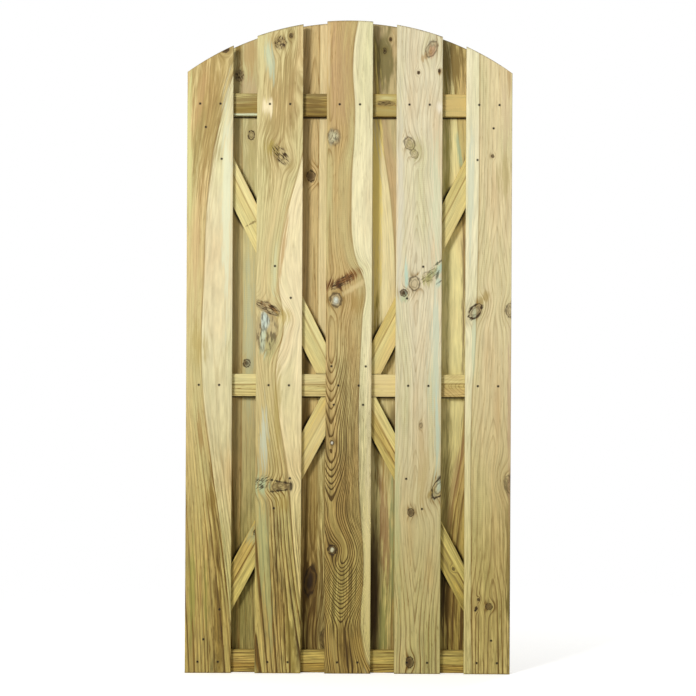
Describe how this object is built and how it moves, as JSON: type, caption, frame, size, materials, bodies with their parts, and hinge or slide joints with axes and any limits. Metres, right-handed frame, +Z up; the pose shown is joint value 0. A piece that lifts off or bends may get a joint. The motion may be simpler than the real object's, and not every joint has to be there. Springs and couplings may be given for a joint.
{
  "type": "wooden garden gate leaf",
  "caption": "Arch-topped timber garden gate leaf: upright boards nailed hit and miss to the front and back of cross rails, stiffened by diagonal braces between the rails.",
  "frame": {"origin": "on the ground, under the middle of the gate's width and thickness", "axes": "+X across the gate to the right seen from the front, +Z up, the front faces -Y"},
  "size_m": [0.896, 0.064, 1.8],
  "materials": {
    "front_boards": "sawn, treated",
    "back_boards": "sawn, treated",
    "rails": "sawn, treated",
    "braces": "sawn, treated",
    "nails": "dull"
  },
  "bodies": {
    "root": {"front_board_1": "front_boards", "front_board_2": "front_boards", "front_board_3": "front_boards", "front_board_4": "front_boards", "front_board_5": "front_boards", "back_board_1": "back_boards", "back_board_2": "back_boards", "back_board_3": "back_boards", "back_board_4": "back_boards", "top_rail": "rails", "middle_rail": "rails", "bottom_rail": "rails", "upper_left_brace": "braces", "upper_right_brace": "braces", "lower_left_brace": "braces", "lower_right_brace": "braces", "top_rail_front_nails": "nails", "top_rail_back_nails": "nails", "middle_rail_front_nails": "nails", "middle_rail_back_nails": "nails", "bottom_rail_front_nails": "nails", "bottom_rail_back_nails": "nails", "upper_left_brace_nails": "nails", "upper_right_brace_nails": "nails", "lower_left_brace_nails": "nails", "lower_right_brace_nails": "nails", "middle_board_brace_nails": "nails"}
  },
  "joints": []
}
